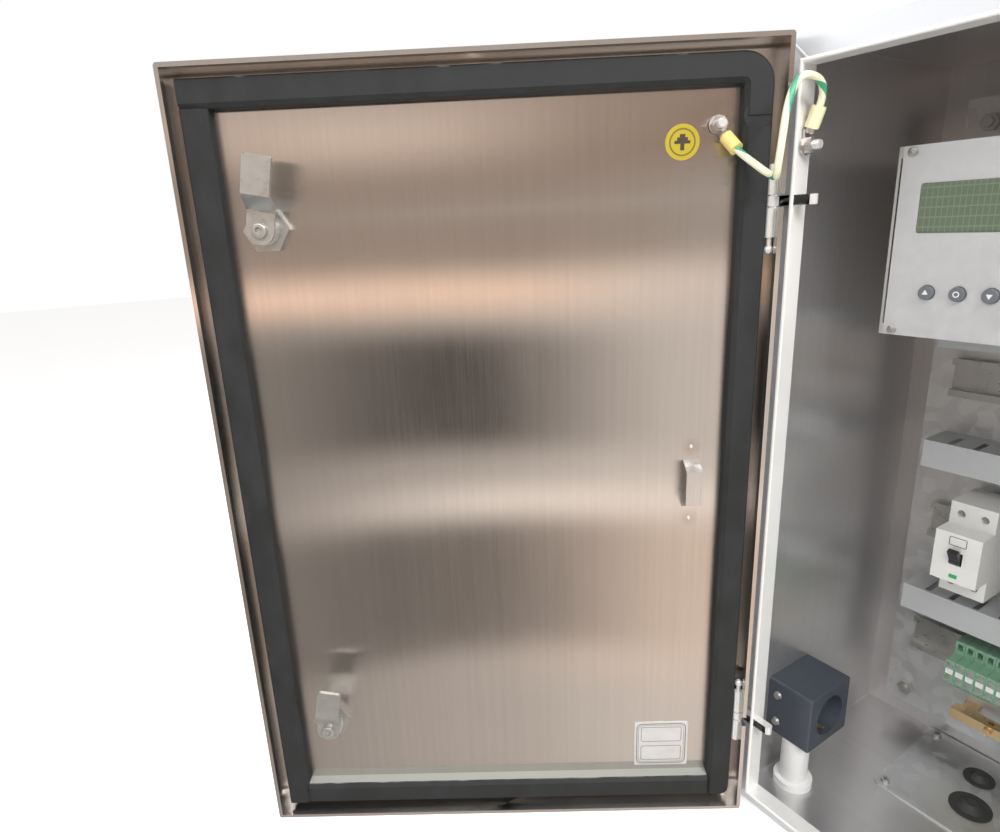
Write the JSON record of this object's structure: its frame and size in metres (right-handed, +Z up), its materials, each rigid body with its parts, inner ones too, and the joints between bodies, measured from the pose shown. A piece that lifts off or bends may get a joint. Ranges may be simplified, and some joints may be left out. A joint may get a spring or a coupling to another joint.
{
  "type": "traffic signal controller cabinet",
  "caption": "Stainless wall cabinet for a traffic signal controller, its gasketed door swung open on pinned hinges, with cam locks and an earth lead.",
  "frame": {"origin": "centre of the cabinet's bottom face", "axes": "-Y out of the front opening, +X to the right seen from the front (hinges at -X), +Z up; rest is the door open by 124 degrees"},
  "size_m": [0.6838, 0.6124, 0.655],
  "materials": {
    "steel": "brushed",
    "box_steel": "brushed",
    "bright": "polished",
    "cast": "satin",
    "sponge": "matt sponge",
    "black_rubber": "matt",
    "zinc": "satin",
    "galvanised": "satin",
    "grey_plastic": "matt",
    "light_plastic": "matt",
    "dark_plastic": "matt",
    "white_plastic": "satin",
    "card_face": "satin",
    "black_lever": "satin",
    "green_plastic": "matt",
    "copper": "satin",
    "yellow_plastic": "satin",
    "lead": "satin",
    "yellow_label": "gloss",
    "foil_label": "satin",
    "key": "satin"
  },
  "bodies": {
    "cabinet": {"cabinet_shell": "box_steel", "gland_plate": "galvanised", "cable_grommets": "black_rubber", "upper_hinge_arm": "bright", "lower_hinge_arm": "bright", "mounting_plate": "galvanised", "plate_studs": "zinc", "inner_fasteners": "zinc", "din_rails": "zinc", "wiring_ducts": "grey_plastic", "rack_frame": "cast", "rack_power_card": "card_face", "driver_card_1": "card_face", "driver_card_2": "card_face", "driver_card_3": "card_face", "monitor_card": "card_face", "cpu_card": "card_face", "main_breaker": "light_plastic", "lamp_breaker": "light_plastic", "power_supply": "cast", "terminal_strip": "green_plastic", "earth_bar": "copper", "service_outlet": "dark_plastic", "outlet_conduit": "white_plastic", "body_earth_stud": "bright", "body_earth_nut": "bright", "body_earth_lug": "copper", "body_lug_sleeve": "lead", "earth_lead": "lead"},
    "door": {"door_panel": "steel", "gasket_top": "sponge", "gasket_latch_side": "sponge", "gasket_hinge_side": "sponge", "gasket_bottom": "sponge", "upper_hinge_knuckles": "bright", "lower_hinge_knuckles": "bright", "upper_lock_barrel": "cast", "lower_lock_barrel": "cast", "upper_lock_nut": "zinc", "lower_lock_nut": "zinc", "earth_sticker": "yellow_label", "blank_label": "foil_label", "door_bracket": "steel", "door_earth_stud": "bright", "door_earth_nut": "bright", "door_earth_lug": "copper", "door_lug_sleeve": "yellow_plastic"},
    "upper_pin": {"upper_hinge_pin": "bright"},
    "upper_lock": {"upper_lock_insert": "cast", "upper_cam": "zinc", "upper_cam_bolt": "bright"},
    "lower_pin": {"lower_hinge_pin": "bright"},
    "lower_lock": {"lower_lock_insert": "cast", "lower_cam": "zinc", "lower_cam_bolt": "bright"},
    "main_switch": {"main_breaker_lever": "black_lever"},
    "lamp_switch": {"lamp_breaker_lever": "black_lever"},
    "key_1": {"cpu_key_1": "key"},
    "key_2": {"cpu_key_2": "key"},
    "key_3": {"cpu_key_3": "key"}
  },
  "joints": [
    {"name": "door_hinge", "type": "hinge", "parent": "cabinet", "child": "door", "pos_m": [-0.21375, -0.1305, 0.3275], "axis": [0, 0, 1], "range_deg": [-6, 124], "deforming": ["earth_lead"]},
    {"name": "upper_pin_pull", "type": "slide", "parent": "door", "child": "upper_pin", "axis": [0, 0, -1], "range_m": [0, 0.018]},
    {"name": "lower_pin_pull", "type": "slide", "parent": "door", "child": "lower_pin", "axis": [0, 0, 1], "range_m": [0, 0.018]},
    {"name": "upper_cam_turn", "type": "hinge", "parent": "door", "child": "upper_lock", "pos_m": [-0.43188, -0.436, 0.541], "axis": [0.829, -0.5592, 0], "range_deg": [0, 101]},
    {"name": "lower_cam_turn", "type": "hinge", "parent": "door", "child": "lower_lock", "pos_m": [-0.43188, -0.436, 0.097], "axis": [0.829, -0.5592, 0], "range_deg": [0, 101]},
    {"name": "main_lever_turn", "type": "hinge", "parent": "cabinet", "child": "main_switch", "pos_m": [-0.11798, 0.0235, 0.24726], "axis": [1, 0, 0], "range_deg": [0, 60]},
    {"name": "lamp_lever_turn", "type": "hinge", "parent": "cabinet", "child": "lamp_switch", "pos_m": [-0.05984, 0.0235, 0.24726], "axis": [1, 0, 0], "range_deg": [0, 60]},
    {"name": "key_1_press", "type": "slide", "parent": "cabinet", "child": "key_1", "axis": [0, 1, 0], "range_m": [0, 0.002], "stiffness_N_per_m": 400, "springref_m": -0.002},
    {"name": "key_2_press", "type": "slide", "parent": "cabinet", "child": "key_2", "axis": [0, 1, 0], "range_m": [0, 0.002], "stiffness_N_per_m": 400, "springref_m": -0.002},
    {"name": "key_3_press", "type": "slide", "parent": "cabinet", "child": "key_3", "axis": [0, 1, 0], "range_m": [0, 0.002], "stiffness_N_per_m": 400, "springref_m": -0.002}
  ]
}
